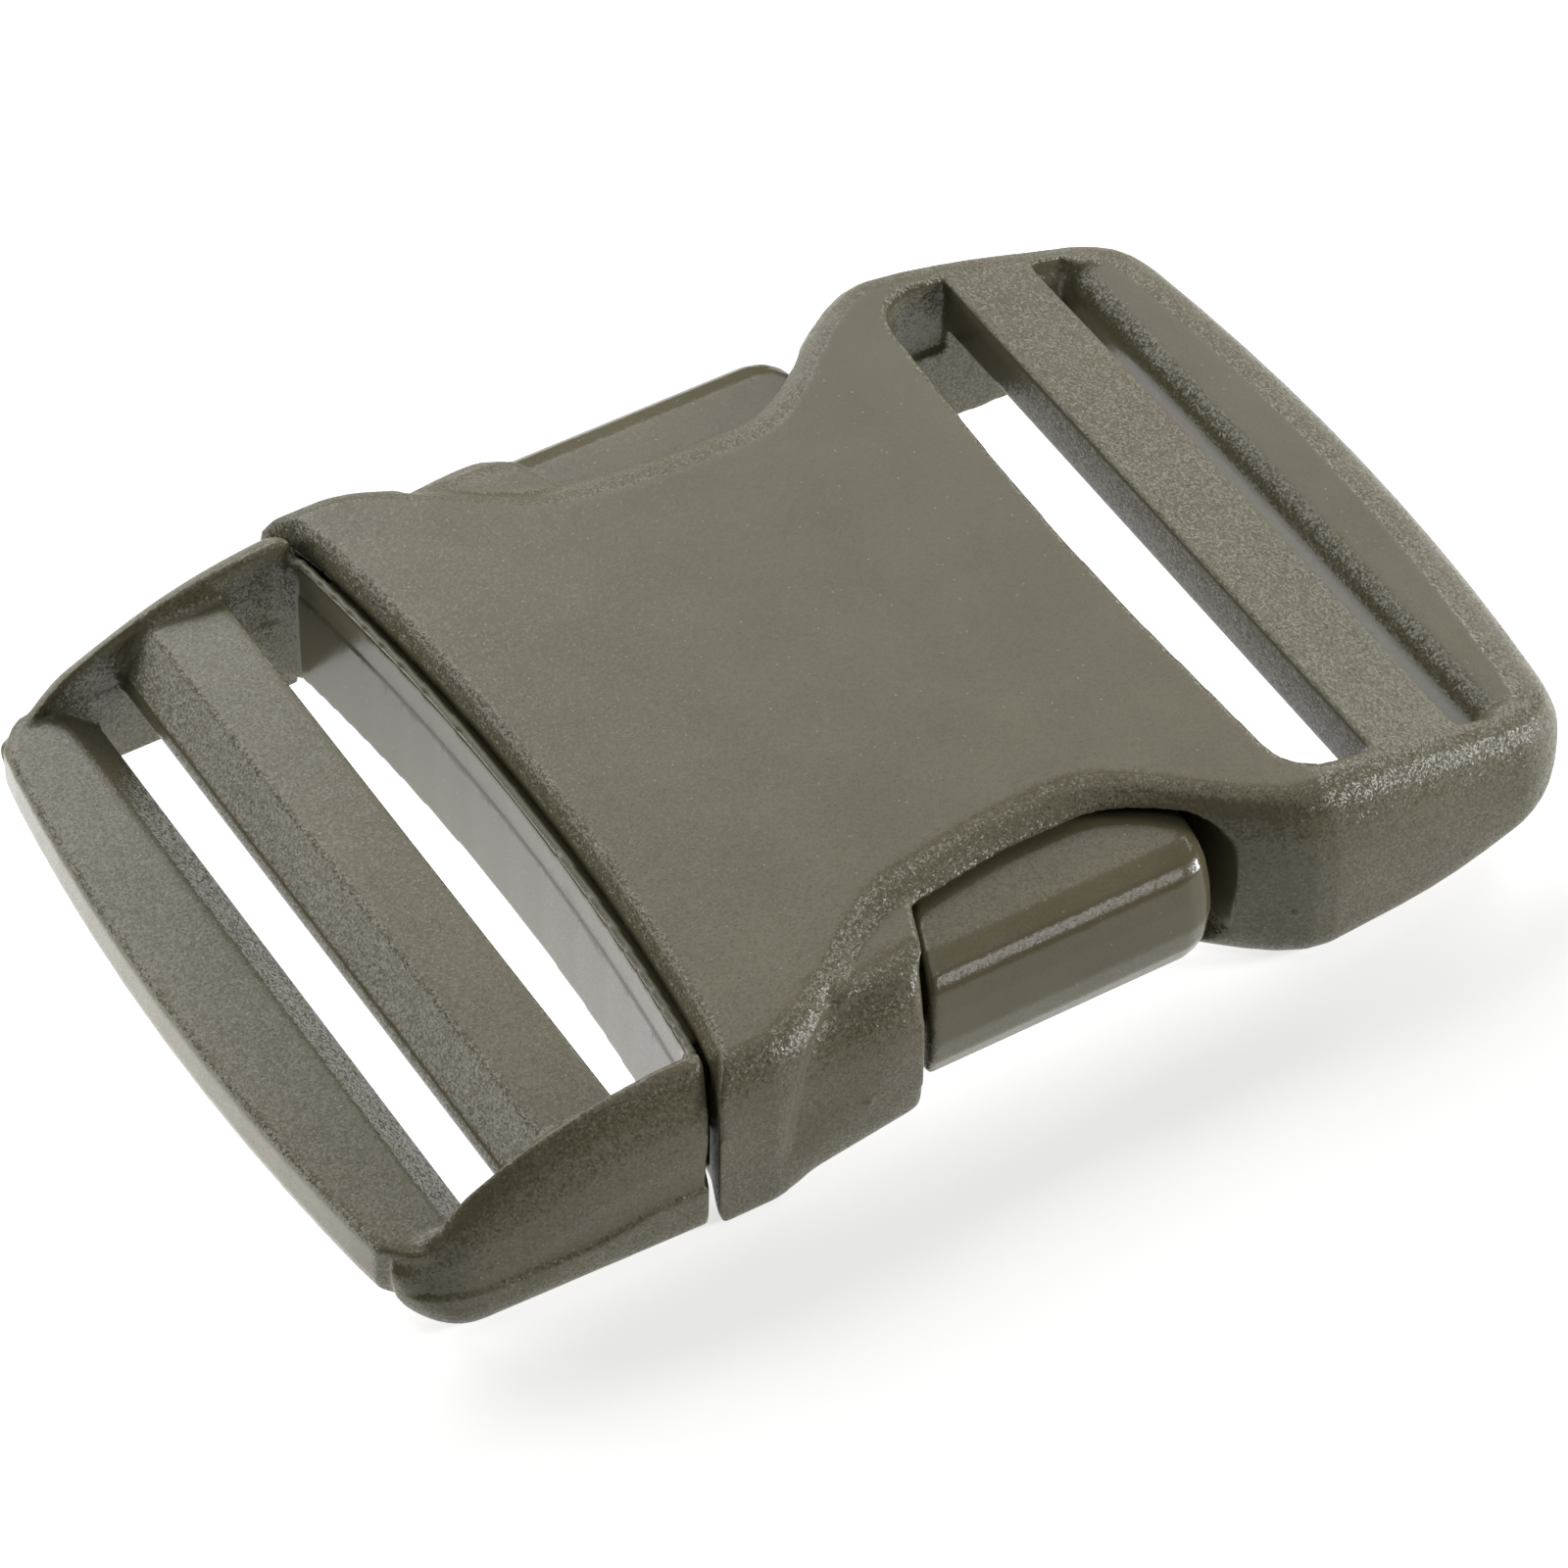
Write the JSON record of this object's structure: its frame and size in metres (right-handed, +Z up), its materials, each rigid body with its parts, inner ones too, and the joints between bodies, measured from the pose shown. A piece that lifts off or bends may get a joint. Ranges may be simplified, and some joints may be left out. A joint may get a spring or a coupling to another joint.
{
  "type": "side release buckle",
  "caption": "Closed two-piece side release buckle for 38 mm webbing, with strap slots at both ends and a squeeze button on each side.",
  "frame": {"origin": "middle of the bounding box, on the flat underside that the buckle lies on", "axes": "+X from the plug's strap end to the socket's strap end, +Y across the buckle, +Z up from the flat underside"},
  "size_m": [0.0744, 0.0482, 0.011],
  "materials": {
    "acetal": "olive grey acetal, satin, with spark-eroded texture on the shoulders"
  },
  "bodies": {
    "root": {"socket": "acetal", "plug": "acetal"}
  },
  "joints": []
}
